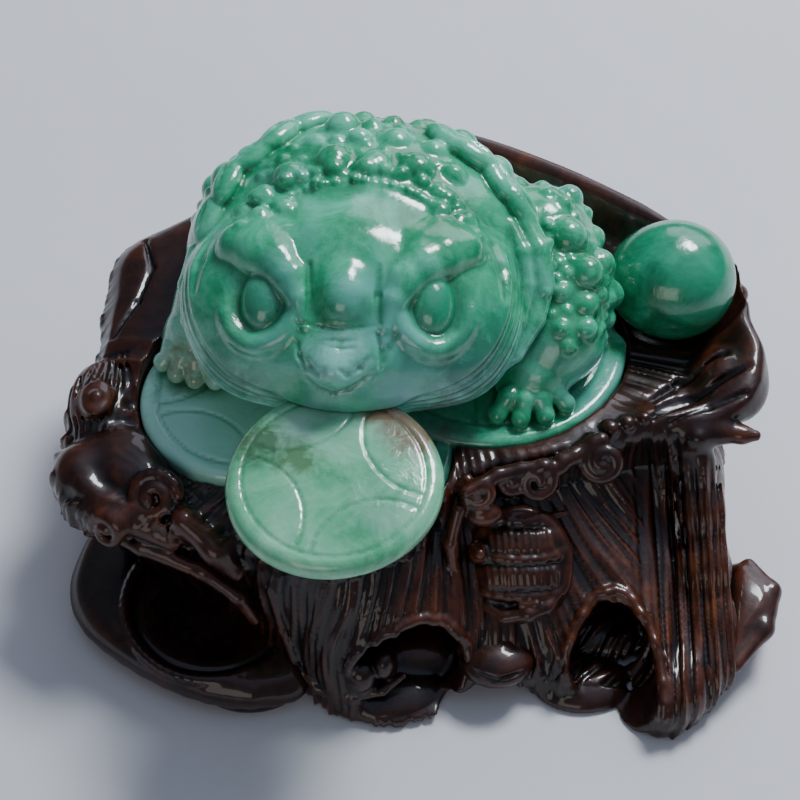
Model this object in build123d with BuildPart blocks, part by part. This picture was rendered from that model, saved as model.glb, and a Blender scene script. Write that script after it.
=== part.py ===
from build123d import *
import os

# A jade money toad crouching on a bed of jade coins, with a jade coin in its mouth and a
# loose jade egg beside it, on a carved hardwood stand glued and pegged together from blocks.
# Millimetres, +Z up, the toad looks along -Y, origin on the floor under the middle of the stand.

os.makedirs("parts", exist_ok=True)

# --- driving dimensions -------------------------------------------------------------------
JOINT_Z = 36.0            # where the seat board sits on the root blocks
BED_Z = 46.0              # floor of the recess that takes the coin bed
RIM_Z = 55.5              # the seat board's top at the middle, if it were not cut away
RIM_PITCH_DEG = 5.0       # the top climbs towards the back
RIM_ROLL_DEG = 1.8        # and a little towards the right
WALL = 14.0               # thickness of the root blocks
SEAT_OVERHANG = 4.0       # seat board past the root blocks
RECESS_GAP = 0.5          # clearance round the coin bed
EGG_GAP = 0.4             # clearance between the egg and its cup
COIN_GAP = 0.35           # clearance between the mouth coin and its slot
PEG_R, PEG_HOLE_R = 2.5, 2.55

# the seat board's edge, anticlockwise from the right
SEAT_EDGE = [
    (92, 24), (87, 36), (68, 48), (41, 66), (11, 80), (-12, 80), (-42, 71),
    (-66, 55), (-84, 28), (-91, 8), (-93, -30), (-85, -43), (-55, -50), (-36, -59),
    (-18, -62), (0, -55), (15, -41), (36, -35), (60, -26), (82, -19), (91, -3),
]
# the line of the feet on the floor, point for point below the seat's edge
FOOT_EDGE = [
    (84, 18), (78, 32), (62, 43), (38, 57), (10, 67), (-12, 67), (-40, 61),
    (-62, 47), (-77, 24), (-80, 4), (-78, -24), (-70, -36), (-48, -50), (-36, -66),
    (-20, -77), (-2, -79.5), (20, -72), (45, -73), (68, -79.5), (77, -60), (82, -20),
]

# coin bed: centre x, centre y, radius, top
BED_COINS = {
    "left": (-46, -10, 28.5, 54.0),
    "front": (-20, -27, 29.0, 53.0),
    "right": (19, 10, 38.0, 55.0),
    "back": (-14, 26, 42.0, 54.0),
}
# head and body from the lip to the rump: y, centre x, centre z, half width, half height
TOAD_SECTIONS = [
    (-39, -20.5, 80, 18, 4), (-36, -20, 78.5, 27, 9), (-30, -19, 77.5, 35, 15),
    (-20, -18, 78, 42, 23), (-5, -17, 78, 46, 29), (12, -15, 77, 48, 32),
    (28, -14, 76, 48, 34), (42, -13, 74, 43, 31), (52, -13, 71, 33, 23), (59, -13, 68, 16, 10),
]
EYE_R = 6.5
EYES_AT = [(-39, -15.5, 94.5), (4, -17, 95.5)]
# brow ridges: outer end, inner end
BROWS = [((-46, 0, 100), (-29.5, -23, 97)), ((13, -1.5, 101), (-8.5, -24, 97))]
BROW_R = 4.2
NOSE_AT, NOSE_R = (-18, -19, 97.5), 7.0
# rounded masses of the arms, the forelegs and the rear leg: centre and radius
LIMBS = [
    ((-53, 9, 67), 12), ((-58, -2, 59), 8), ((34, 24, 76), 16), ((38, 11, 70), 14),
    ((37, 0, 65), 11), ((32, -8, 60), 8.5), ((-12, 54, 66), 12),
]
HANDS = {"left": (-58, -8, 57), "right": (29, -12, 58.5)}
HAND_SIZE = (12, 10, 5)
# large warts: centre and radius
WARTS = [
    ((-37, 14, 101), 4.5), ((-27, 22, 106), 6), ((-14, 26, 108), 6), ((-1, 22, 107), 6),
    ((-32, 34, 102), 6), ((-12, 38, 104), 6), ((8, 34, 102), 6), ((20, 28, 98), 5),
    ((45, 32, 81), 5), ((45, 20, 77), 6), ((28, 44, 82), 6),
]

COIN_AT, COIN_R, COIN_THICK, COIN_ROUND = (-21, -54.2, 72.5), 27.0, 7.5, 3.0
COIN_DIP_DEG, COIN_YAW_DEG = 6.0, -3.0    # slopes down to the front, turned a little left

EGG_AT = (69.5, 22, 64.3)
EGG_FAT, EGG_THIN, EGG_R = 17.0, 18.2, 16.4   # half lengths right and left, half height
EGG_WELL_R = 19.5                             # the coin bed is cut back round the egg

# front openings through the root block: centre x, centre z, radius
HOLLOWS = [(-7, 14.0, 10.5), (50, 14.5, 11.0)]
HOLLOW_DEPTH = 40.0
FRONT_SEAM_Y, BACK_SEAM_Y = -12.0, 34.0

CAP_TOP_LEFT, CAP_TOP_RIGHT, CAP_UNDER, CAP_TAPER = 14.0, 17.0, 5.0, 4.0
CAP_LEFT_EDGE = [
    (-90, -14), (-97.5, -36), (-92, -53), (-76, -67), (-58, -76), (-42, -78.5),
    (-29, -72), (-38, -52), (-62, -34), (-76, -8),
]
CAP_RIGHT_EDGE = [
    (76, -76), (88, -64), (96, -54), (97.5, -44), (90, -35), (78, -33), (70, -45), (68, -62),
]
CAP_LEFT_BOWL = (-58, -48, 26.0)       # centre and radius of the bowl in the left cap
CAP_FEET = {"left": (-66, -54, 10), "right": (85, -52, 7)}

BUNDLE_AT, BUNDLE_SIZE, BUNDLE_LEAN_DEG = (23.5, -48, 27), (12, 8.5, 18), -46.5
KNOB_AT, KNOB_SIZE = (20.5, -67, 11.5), (10, 8, 5.5)

SEAT_PEGS = [0, 3, 6, 9, 11, 14, 16, 18]      # which of the seat's edge points get a peg
PEG_INSET, PEG_DOWN, PEG_UP = 9.0, 8.0, 6.0
DOWEL_R, DOWEL_HOLE_R, DOWEL_LENGTH, DOWEL_Z = 3.0, 3.05, 24.0, 18.0
SEAM_DOWELS = [(-76, -12), (78, -12), (-65, 34), (70, 34)]

# --- helpers ------------------------------------------------------------------------------
def inset(points, amount):
    """The outline's points moved straight towards the stand's middle."""
    moved = []
    for x, y in points:
        share = 1 - amount / (x * x + y * y) ** 0.5
        moved.append((x * share, y * share))
    return moved


def ellipsoid(centre, size):
    ball = Sphere(1, mode=Mode.PRIVATE)
    return Pos(*centre) * scale(ball, by=size, mode=Mode.PRIVATE)


def save(part, name):
    part.label = name
    export_step(part, f"parts/{name}.step")
    box = part.bounding_box()
    print(f"{name}: volume {part.volume / 1000:.1f} cm3, from {box.min} to {box.max}")


coin_plane = Plane(origin=COIN_AT, z_dir=(0, 0, 1)).rotated(
    (COIN_DIP_DEG, 0, COIN_YAW_DEG)
)

# --- jade ---------------------------------------------------------------------------------
with BuildPart() as mouth_coin:
    with BuildSketch(coin_plane):
        Circle(COIN_R)
    extrude(amount=COIN_THICK / 2, both=True)
    fillet(mouth_coin.edges().filter_by(GeomType.CIRCLE), COIN_ROUND)

with BuildPart() as coin_bed:
    for x, y, r, top in BED_COINS.values():
        with BuildSketch(Plane.XY.offset(BED_Z)):
            with Locations((x, y)):
                Circle(r)
        extrude(amount=top - BED_Z)

with BuildPart() as toad:
    for y, x, z, half_width, half_height in TOAD_SECTIONS:
        with BuildSketch(Plane.XZ.offset(-y)):
            with Locations((x, z)):
                Ellipse(half_height, half_width, rotation=-90)
    loft()
    for at, r in LIMBS:
        add(Pos(*at) * Sphere(r, mode=Mode.PRIVATE))
    for at in HANDS.values():
        add(ellipsoid(at, HAND_SIZE))
    for at in EYES_AT:
        add(Pos(*at) * Sphere(EYE_R, mode=Mode.PRIVATE))
    for outer, inner in BROWS:
        reach = Vector(*inner) - Vector(*outer)
        for step in range(5):
            at = Vector(*outer) + reach * (step / 4)
            add(Pos(at) * Sphere(BROW_R - 0.2 * step, mode=Mode.PRIVATE))
    add(Pos(*NOSE_AT) * Sphere(NOSE_R, mode=Mode.PRIVATE))
    for at, r in WARTS:
        add(Pos(*at) * Sphere(r, mode=Mode.PRIVATE))
    split(bisect_by=Plane.XY.offset(BED_Z), keep=Keep.TOP)
    add(coin_bed.part)
    # the slot in the mouth
    with BuildSketch(coin_plane):
        Circle(COIN_R + COIN_GAP)
    extrude(amount=COIN_THICK / 2 + COIN_GAP, both=True, mode=Mode.SUBTRACT)
    # room for the egg
    with BuildSketch(Plane.XY.offset(BED_Z - 1)):
        with Locations(EGG_AT[:2]):
            Circle(EGG_WELL_R)
    extrude(amount=100, mode=Mode.SUBTRACT)


def egg_part(grow):
    """An egg lying along X, fat end right, made bigger all round by grow."""
    with BuildPart() as made:
        with BuildSketch(Plane.XZ):
            with BuildLine():
                EllipticalCenterArc(
                    (0, 0), EGG_FAT + grow, EGG_R + grow, start_angle=0, arc_size=90
                )
                EllipticalCenterArc(
                    (0, 0), EGG_THIN + grow, EGG_R + grow, start_angle=90, arc_size=90
                )
                Line((-EGG_THIN - grow, 0), (EGG_FAT + grow, 0))
            make_face()
        revolve(axis=Axis.X)
    return Pos(*EGG_AT) * made.part


with BuildPart() as egg:
    add(egg_part(0))

# --- stand --------------------------------------------------------------------------------
def lofted(lower_points, upper_points, lower_z=0, upper_z=JOINT_Z):
    """A solid between two closed curves at two heights."""
    with BuildPart() as made:
        for points, z in ((lower_points, lower_z), (upper_points, upper_z)):
            with BuildSketch(Plane.XY.offset(z)):
                with BuildLine():
                    Spline(*points, periodic=True)
                make_face()
        loft()
    return made.part


root_solid = lofted(FOOT_EDGE, inset(SEAT_EDGE, SEAT_OVERHANG))
root_hollow = lofted(inset(FOOT_EDGE, WALL), inset(SEAT_EDGE, SEAT_OVERHANG + WALL))
peg_spots = inset([SEAT_EDGE[i] for i in SEAT_PEGS], PEG_INSET)

with BuildPart() as seat_peg_holes:
    with BuildSketch(Plane.XY.offset(JOINT_Z - PEG_DOWN)):
        with Locations(*peg_spots):
            Circle(PEG_HOLE_R)
    extrude(amount=PEG_DOWN + PEG_UP)

with BuildPart() as seat_pegs:
    with BuildSketch(Plane.XY.offset(JOINT_Z - PEG_DOWN)):
        with Locations(*peg_spots):
            Circle(PEG_R)
    extrude(amount=PEG_DOWN + PEG_UP)

dowel_planes = [
    Plane(origin=(x, y, DOWEL_Z), z_dir=(0, 1, 0)) for x, y in SEAM_DOWELS
]

with BuildPart() as seam_dowel_holes:
    for plane in dowel_planes:
        with BuildSketch(plane):
            Circle(DOWEL_HOLE_R)
        extrude(amount=DOWEL_LENGTH / 2, both=True)

with BuildPart() as seam_dowels:
    for plane in dowel_planes:
        with BuildSketch(plane):
            Circle(DOWEL_R)
        extrude(amount=DOWEL_LENGTH / 2, both=True)

with BuildPart() as seat_board:
    with BuildSketch(Plane.XY.offset(JOINT_Z)):
        with BuildLine():
            Spline(*SEAT_EDGE, periodic=True)
        make_face()
    extrude(amount=40)
    rim_plane = Plane(origin=(0, 0, RIM_Z)).rotated((RIM_PITCH_DEG, -RIM_ROLL_DEG, 0))
    split(bisect_by=rim_plane, keep=Keep.BOTTOM)
    for x, y, r, top in BED_COINS.values():
        with BuildSketch(Plane.XY.offset(BED_Z)):
            with Locations((x, y)):
                Circle(r + RECESS_GAP)
        extrude(amount=40, mode=Mode.SUBTRACT)
    add(egg_part(EGG_GAP), mode=Mode.SUBTRACT)
    add(seat_peg_holes.part, mode=Mode.SUBTRACT)

with BuildPart() as root_shell:
    add(root_solid)
    add(root_hollow, mode=Mode.SUBTRACT)
    for x, z, r in HOLLOWS:
        with BuildSketch(Plane(origin=(x, -90, z), z_dir=(0, 1, 0))):
            Circle(r)
        extrude(amount=HOLLOW_DEPTH, mode=Mode.SUBTRACT)
    add(seat_peg_holes.part, mode=Mode.SUBTRACT)
    add(seam_dowel_holes.part, mode=Mode.SUBTRACT)


def slab(x0, x1, y0, y1):
    """The share of the root shell inside a plan rectangle."""
    with BuildPart() as made:
        add(root_shell.part)
        with BuildSketch(Plane.XY.offset(-1)):
            with Locations(((x0 + x1) / 2, (y0 + y1) / 2)):
                Rectangle(x1 - x0, y1 - y0)
        extrude(amount=JOINT_Z + 2, mode=Mode.INTERSECT)
    return made.part


front_root = slab(-120, 120, -120, FRONT_SEAM_Y)
left_root = slab(-120, 0, FRONT_SEAM_Y, BACK_SEAM_Y)
right_root = slab(0, 120, FRONT_SEAM_Y, BACK_SEAM_Y)
back_root = slab(-120, 120, BACK_SEAM_Y, 120)

with BuildPart() as fungus_cap_left:
    add(lofted(inset(CAP_LEFT_EDGE, CAP_TAPER), CAP_LEFT_EDGE, CAP_UNDER, CAP_TOP_LEFT))
    x, y, r = CAP_FEET["left"]
    with BuildSketch(Plane.XY):
        with Locations((x, y)):
            Circle(r)
    extrude(amount=CAP_UNDER + 1)
    x, y, r = CAP_LEFT_BOWL
    add(ellipsoid((x, y, CAP_TOP_LEFT + 2), (r, r * 0.8, 8)), mode=Mode.SUBTRACT)
    add(root_solid, mode=Mode.SUBTRACT)

with BuildPart() as fungus_cap_right:
    add(lofted(inset(CAP_RIGHT_EDGE, CAP_TAPER), CAP_RIGHT_EDGE, CAP_UNDER, CAP_TOP_RIGHT))
    x, y, r = CAP_FEET["right"]
    with BuildSketch(Plane.XY):
        with Locations((x, y)):
            Circle(r)
    extrude(amount=CAP_UNDER + 1)
    add(root_solid, mode=Mode.SUBTRACT)

with BuildPart() as bundle:
    tilt = Pos(*BUNDLE_AT) * Rot(BUNDLE_LEAN_DEG, 0, 0)
    add(tilt * ellipsoid((0, 0, 0), BUNDLE_SIZE))
    add(root_solid, mode=Mode.SUBTRACT)
    add(seat_board.part, mode=Mode.SUBTRACT)

with BuildPart() as knob:
    add(ellipsoid(KNOB_AT, KNOB_SIZE))
    add(root_solid, mode=Mode.SUBTRACT)
    add(bundle.part, mode=Mode.SUBTRACT)

nodes = {
    "toad": toad.part,
    "mouth_coin": mouth_coin.part,
    "egg": egg.part,
    "seat_board": seat_board.part,
    "front_root": front_root,
    "left_root": left_root,
    "right_root": right_root,
    "back_root": back_root,
    "fungus_cap_left": fungus_cap_left.part,
    "fungus_cap_right": fungus_cap_right.part,
    "bundle": bundle.part,
    "knob": knob.part,
    "seat_pegs": seat_pegs.part,
    "seam_dowels": seam_dowels.part,
}
for name, part in nodes.items():
    save(part, name)
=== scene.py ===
import bpy
import numpy as np
import openvdb as vdb
from math import cos, pi, radians, sin, sqrt
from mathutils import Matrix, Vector


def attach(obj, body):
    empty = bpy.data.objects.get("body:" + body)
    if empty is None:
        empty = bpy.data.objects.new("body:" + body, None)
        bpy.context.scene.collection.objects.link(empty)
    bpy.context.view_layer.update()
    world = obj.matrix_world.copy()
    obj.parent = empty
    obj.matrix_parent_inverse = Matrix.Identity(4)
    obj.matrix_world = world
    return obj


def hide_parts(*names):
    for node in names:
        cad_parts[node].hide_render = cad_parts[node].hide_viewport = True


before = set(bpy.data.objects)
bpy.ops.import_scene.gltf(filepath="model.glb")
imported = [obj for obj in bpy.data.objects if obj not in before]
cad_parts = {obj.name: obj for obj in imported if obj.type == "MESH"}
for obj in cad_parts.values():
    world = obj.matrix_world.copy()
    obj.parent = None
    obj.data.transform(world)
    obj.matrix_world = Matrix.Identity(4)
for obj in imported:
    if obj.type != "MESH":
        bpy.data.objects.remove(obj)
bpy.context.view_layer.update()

FINE = 1.0
MM = 0.001
FOOT_Z = 0.15   # the height of the stand's feet


def show(name, data):
    obj = bpy.data.objects.new(name, data)
    bpy.context.scene.collection.objects.link(obj)
    return obj


# ---- clay: a signed distance field on a grid, in millimetres ----
def smin(a, b, k):
    if k <= 0:
        return np.minimum(a, b)
    h = np.maximum(k - np.abs(a - b), 0) / k
    return np.minimum(a, b) - h * h * (k * 0.25)


def smax(a, b, k):
    return -smin(-a, -b, k)


class Clay:
    def __init__(self, lo, hi, step):
        self.h = step * FINE
        self.lo = np.array(lo, float)
        n = np.ceil((np.array(hi, float) - self.lo) / self.h).astype(int) + 1
        self.axes = [(self.lo[i] + self.h * np.arange(n[i])).astype(np.float32) for i in range(3)]
        self.d = np.full(n, 50.0, np.float32)

    def window(self, box=None):
        """The cells of a box, or of the whole grid, and their places."""
        if box is None:
            cuts = [slice(0, len(a)) for a in self.axes]
        else:
            cuts = [slice(*np.searchsorted(a, (lo, hi))) for a, lo, hi in zip(self.axes, *box)]
        x, y, z = [a[c] for a, c in zip(self.axes, cuts)]
        return tuple(cuts), (x[:, None, None], y[None, :, None], z[None, None, :])

    def edit(self, tool, box, mix):
        cuts, p = self.window(box)
        if min(c.stop - c.start for c in cuts) < 2:
            return
        self.d[cuts] = mix(self.d[cuts], tool(p))

    def add(self, tool, box=None, k=1.0):
        self.edit(tool, box, lambda d, t: smin(d, t, k))

    def cut(self, tool, box=None, k=0.5):
        self.edit(tool, box, lambda d, t: smax(d, -t, k))

    def keep(self, tool, box=None, k=0.3):
        self.edit(tool, box, lambda d, t: smax(d, t, k))

    def push(self, amount, box=None):
        """Moves the surface out by amount(p) millimetres."""
        self.edit(amount, box, lambda d, t: d - t)

    def carve(self, amount, box=None, near=2.5):
        """Like push, but only close to the surface."""
        cuts, p = self.window(box)
        d = self.d[cuts]
        close = np.abs(d) < near
        x, y, z = [np.broadcast_to(axis, d.shape)[close] for axis in p]
        d[close] -= amount(x, y, z)

    def ball(self, c, r, k=1.0):
        self.add(lambda p: ball(p, c, r), around(c, r + k + 1.5), k)

    def blob(self, c, s, k=1.0, turn=None, cut=False):
        done = self.cut if cut else self.add
        done(lambda p: blob(p, c, s, turn), around(c, max(s) + k + 1.5), k)

    def tube(self, points, radii, k=1.0, cut=False):
        done = self.cut if cut else self.add
        ends = list(zip(points, radii))
        for (a, ra), (b, rb) in zip(ends, ends[1:]):
            margin = max(ra, rb) + k + 1.5
            box = (np.minimum(a, b) - margin, np.maximum(a, b) + margin)
            done(lambda p: bone(p, a, b, ra, rb), box, k)

    def reach(self, start, toward):
        """The point where a line first meets the clay."""
        p, v = np.array(start, float), unit(toward)
        for _ in range(400):
            at = np.round((p - self.lo) / self.h).astype(int)
            if np.all(at >= 0) and np.all(at < self.d.shape) and self.d[tuple(at)] < 0:
                return p
            p = p + v * 0.4
        return p

    def front(self, x, z, out=0.0):
        """A point on the front, from how far right and how high it is."""
        return self.reach((x, -92, z), (0, 1, 0)) - (0, out, 0)

    def above(self, x, y, out=0.0):
        """A point on the top."""
        return self.reach((x, y, self.axes[2][-1]), (0, 0, -1)) + (0, 0, out)

    def stand_flat(self):
        self.keep(lambda p: FOOT_Z - p[2], None, 0.8)

    def hollows(self, reach=1.6):
        """How much lower each place lies than its surroundings, in millimetres."""
        n = max(1, int(round(reach / self.h)))
        depth = np.clip(self.d, -4, 4)
        soft = depth
        for axis in (0, 1, 2, 0, 1, 2):
            pads = [(n + 1, n) if a == axis else (0, 0) for a in range(3)]
            total = np.cumsum(np.pad(soft, pads, mode="edge"), axis=axis, dtype=np.float32)
            size = total.shape[axis]
            far = np.take(total, np.arange(2 * n + 1, size), axis=axis)
            near = np.take(total, np.arange(0, size - 2 * n - 1), axis=axis)
            soft = (far - near) / (2 * n + 1)
        return depth - soft

    def surface(self):
        """Points, faces, normals and hollowness of the clay's surface."""
        grid = vdb.FloatGrid(50.0)
        grid.copyFromArray(self.d)
        points, quads = grid.convertToQuads(isovalue=0.0)
        a, b, c, d = [points[quads[:, i]] for i in range(4)]
        flat = np.cross(c - a, d - b)
        normals = np.zeros_like(points)
        for i in range(4):
            for axis in range(3):
                normals[:, axis] += np.bincount(quads[:, i], flat[:, axis], len(points))
        normals /= np.linalg.norm(normals, axis=1)[:, None] + 1e-9
        at = np.round(points).astype(int)
        hollow = self.hollows()[at[:, 0], at[:, 1], at[:, 2]]
        return (points * self.h + self.lo) * MM, quads, normals, hollow

    def object(self, name):
        return build(name, *self.surface())


def build(name, points, quads, normals, hollow):
    mesh = bpy.data.meshes.new(name)
    mesh.vertices.add(len(points))
    mesh.vertices.foreach_set("co", points.astype(np.float32).ravel())
    mesh.loops.add(len(quads) * 4)
    mesh.loops.foreach_set("vertex_index", quads.astype(np.int32).ravel())
    mesh.polygons.add(len(quads))
    mesh.polygons.foreach_set("loop_start", np.arange(len(quads), dtype=np.int32) * 4)
    mesh.update(calc_edges=True)
    mesh.shade_smooth()
    mesh.normals_split_custom_set_from_vertices(normals.astype(np.float32))
    # how hollow each point is; the materials paint shade into hollows and highlights onto raised parts
    # from it
    low = mesh.attributes.new("hollow", "FLOAT", "POINT")
    low.data.foreach_set("value", hollow.astype(np.float32))
    return show(name, mesh)


def part_of(surface, name, lo, hi):
    """The faces of a surface whose centres lie in a box, in millimetres."""
    points, quads, normals, hollow = surface
    centres = points[quads].mean(axis=1) / MM
    chosen = quads[((centres >= lo) & (centres < hi)).all(axis=1)]
    used, chosen = np.unique(chosen, return_inverse=True)
    return build(name, points[used], chosen.reshape(-1, 4), normals[used], hollow[used])


def unit(v):
    return np.divide(v, np.linalg.norm(v))


def around(c, margin):
    c = np.array(c, float)
    return c - margin, c + margin


def ball(p, c, r):
    return np.sqrt((p[0] - c[0]) ** 2 + (p[1] - c[1]) ** 2 + (p[2] - c[2]) ** 2) - r


def local(p, c, turn):
    """Coordinates in a frame at c whose axes are the columns of turn."""
    q = [p[i] - np.float32(c[i]) for i in range(3)]
    if turn is None:
        return q
    return [sum(np.float32(turn[j][i]) * q[j] for j in range(3)) for i in range(3)]


def blob(p, c, s, turn=None):
    """About the distance to an ellipsoid with half axes s."""
    q = local(p, c, turn)
    k0 = np.sqrt(sum((q[i] / s[i]) ** 2 for i in range(3)))
    k1 = sum((q[i] / (s[i] * s[i])) ** 2 for i in range(3))
    return k0 * (k0 - 1) / np.sqrt(k1 + 1e-12)


def bone(p, a, b, ra, rb):
    """A straight round bar from a to b, of radius ra at a and rb at b."""
    a = np.array(a, float)
    v = np.array(b, float) - a
    t = sum((p[i] - a[i]) * (v[i] / (v @ v)) for i in range(3))
    t = np.clip(t, 0, 1)
    r = ra + (rb - ra) * t
    return np.sqrt(sum((p[i] - a[i] - v[i] * t) ** 2 for i in range(3))) - r


def disc(q, r, half, soft):
    """A round plate with softened edges; q is local, its axis is the third."""
    rho = np.sqrt(q[0] ** 2 + q[1] ** 2)
    a = rho - (r - soft)
    b = np.abs(q[2]) - (half - soft)
    out = np.sqrt(np.maximum(a, 0) ** 2 + np.maximum(b, 0) ** 2)
    return out + np.minimum(np.maximum(a, b), 0) - soft


def turned(yaw=0.0, nod=0.0):
    """Columns are the axes of a frame turned about Z, then X, in degrees."""
    a, b = radians(yaw), radians(nod)
    rz = np.array([[cos(a), -sin(a), 0], [sin(a), cos(a), 0], [0, 0, 1]])
    return rz @ np.array([[1, 0, 0], [0, cos(b), -sin(b)], [0, sin(b), cos(b)]])


def axes_to(out, up=(0, 0, 1)):
    """A frame whose third axis points along out."""
    z = unit(out)
    x = unit(np.cross(up, z))
    return np.stack([x, np.cross(z, x), z], 1)


def step(a, b, t):
    """Runs smoothly from 0 at t = a to 1 at t = b."""
    t = np.clip((t - a) / (b - a), 0, 1)
    return t * t * (3 - 2 * t)


def hill(x, y, cx, cy, rx, ry):
    """1 at (cx, cy), falling off softly over rx and ry."""
    return np.exp(-((x - cx) / rx) ** 2 - ((y - cy) / ry) ** 2)


# ---- the loose coin ----
COIN_C, COIN_R, COIN_HALF = (-21, -54.2, 72.5), 27, 3.3
COIN_AXES = turned(0, 6) @ turned(-3)


def coin_half(q):
    """Half of the coin's thickness, less towards its rim."""
    rho = np.sqrt(q[0] ** 2 + q[1] ** 2)
    return COIN_HALF + 1.3 * (1 - np.minimum(rho / COIN_R, 1) ** 2)


def coin_form(p, grow=0.0):
    """The domed mouth coin, not quite round."""
    q = local(p, COIN_C, COIN_AXES)
    turn = np.arctan2(q[1], q[0])
    r = COIN_R - 0.6 + 0.45 * np.sin(2 * turn + 0.6) + 0.2 * np.sin(3 * turn + 2.0)
    return disc(q, r, coin_half(q), 3.1) - grow


def cash_motif(q, r, level, width, depth, spin):
    """Rim ring, four arcs bowed inwards round a square hole that isn't cut, and its corner lines."""
    rho = np.sqrt(q[0] ** 2 + q[1] ** 2)
    c, s = cos(spin), sin(spin)
    u = np.abs(q[0] * c + q[1] * s)
    v = np.abs(q[1] * c - q[0] * s)
    big, small = np.maximum(u, v), np.minimum(u, v)
    rim, far = 0.83 * r, 9
    arcs = np.abs(np.sqrt((big - 1.02 * r) ** 2 + small ** 2) - 0.66 * r)
    corners = np.abs(np.abs(big - small) / sqrt(2) - 0.075 * r)
    dist = np.minimum(np.abs(rho - rim), np.where(rho < rim, arcs, far))
    dist = np.minimum(dist, np.where((rho < rim) & (big + small > 1.02 * r * 0.98), corners, far))
    return np.sqrt(dist ** 2 + ((np.abs(q[2]) - level) * width / depth) ** 2) - width


def make_coin():
    clay = Clay((-50, -84, 64), (8, -24, 82), 0.38)
    clay.d[:] = coin_form(clay.window()[1])

    def groove(p):
        q = local(p, COIN_C, COIN_AXES)
        return cash_motif(q, COIN_R, coin_half(q), 0.55, 0.26, 0.5)

    clay.cut(groove, None, 0.4)
    return clay.object("mouth_coin")


# ---- the toad's head ----
HEAD_C, HEAD = np.array((-17.5, -4, 84)), turned(-2, 15)
SKULL = (45, 31, 22.5)
BROW = [(27.5, 6.4, -2.4), (23, 4, -2.4), (18, 0.4, -2.3), (14.2, -4.6, -2),
        (11.6, -10, -1.6), (9.6, -16.5, -1)]
# creases of the face seen from the front, and their thickness: under the nose, beside the snout,
# the nostrils and the fold of the lip
CREASES = [
    ([(-12, -7), (-6, -7.9), (-1, -8.4), (3.5, -8), (8.5, -6.8)], 0.25),
    ([(-4.4, -11), (-1, -11.4), (2.6, -11)], 0.3),
    ([(-3.8, -12.8), (-1, -13.1), (2.2, -12.8)], 0.25),
    ([(7.7, -9.4), (9, -13.8), (8.8, -18)], 0.6),
    ([(12.4, -9), (10.6, -12.5), (9.4, -16)], 0.55),
    ([(-11.6, -12), (-11, -15), (-9.6, -18.2)], 0.5),
    ([(-1, -18.4), (1.2, -19.8), (3.8, -17.8), (5.6, -15.2)], 0.65),
    ([(-4.8, -18.4), (-6.4, -19.6), (-8.4, -17.8), (-9.2, -15.8)], 0.55),
    ([(-10.5, -19.4), (-7, -22.6), (-3, -24.2), (1.2, -22.8), (5, -20.2), (7.5, -18.8)], 0.5)]


def on_head(x, y, z):
    return HEAD_C + HEAD @ (x, y, z)


def on_skull(x, y, up=0.0):
    z = SKULL[2] * sqrt(max(1 - (x / SKULL[0]) ** 2 - (y / SKULL[1]) ** 2, 0.02))
    return on_head(x, y, z + up)


def lips(p):
    """The mouth line, the lip over it, and fine lines below it."""
    q = local(p, HEAD_C, HEAD)
    line = 1.0 + 8.5 * (np.minimum(np.abs(q[0]), 46) / 44) ** 2.4
    below = line - q[2]
    in_front = 1 / (1 + np.exp(np.clip((q[1] - 6) / 2.5, -20, 20)))
    off = blob(p, HEAD_C, SKULL, HEAD)
    in_front = in_front * np.clip(1 - (np.abs(off) - 4.5) / 2, 0, 1)
    inset = -1.5 / (1 + np.exp(np.clip(-below / 0.35, -20, 20)))
    crease = -0.9 * np.exp(-(below / 0.7) ** 2)
    fine = 0.22 * np.sin(below * 2.6) * (below > 1.2) * (below < 16)
    return (inset + crease + fine) * in_front


def eye(clay, side):
    """Socket, eyeball and the soft ring of the lower lid."""
    n = np.array((side * 0.27, -0.27, 0.92))
    axes = HEAD @ axes_to(n, (0, 1, 0)) @ turned(side * 14)
    spot = on_skull(side * 21.6, -9.6)
    out = HEAD @ unit(n)
    clay.blob(spot + out * 1.6, (9, 11.6, 4.4), 2.4, axes, cut=True)
    clay.blob(spot - out * 4.6, (6.4, 8.8, 6), 0.3, axes)
    ring, count = [], 12
    for i in range(count + 1):
        a = radians(-15 - 175 * i / count)
        x, y = 9.6 * cos(a) * side, 11.6 * sin(a)
        ring.append(spot + axes @ (x, y, -0.8 - 0.012 * (x * x + y * y)))
    clay.tube(ring, [0.4 + 0.5 * sin(pi * i / count) for i in range(count + 1)], 3.4)


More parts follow.
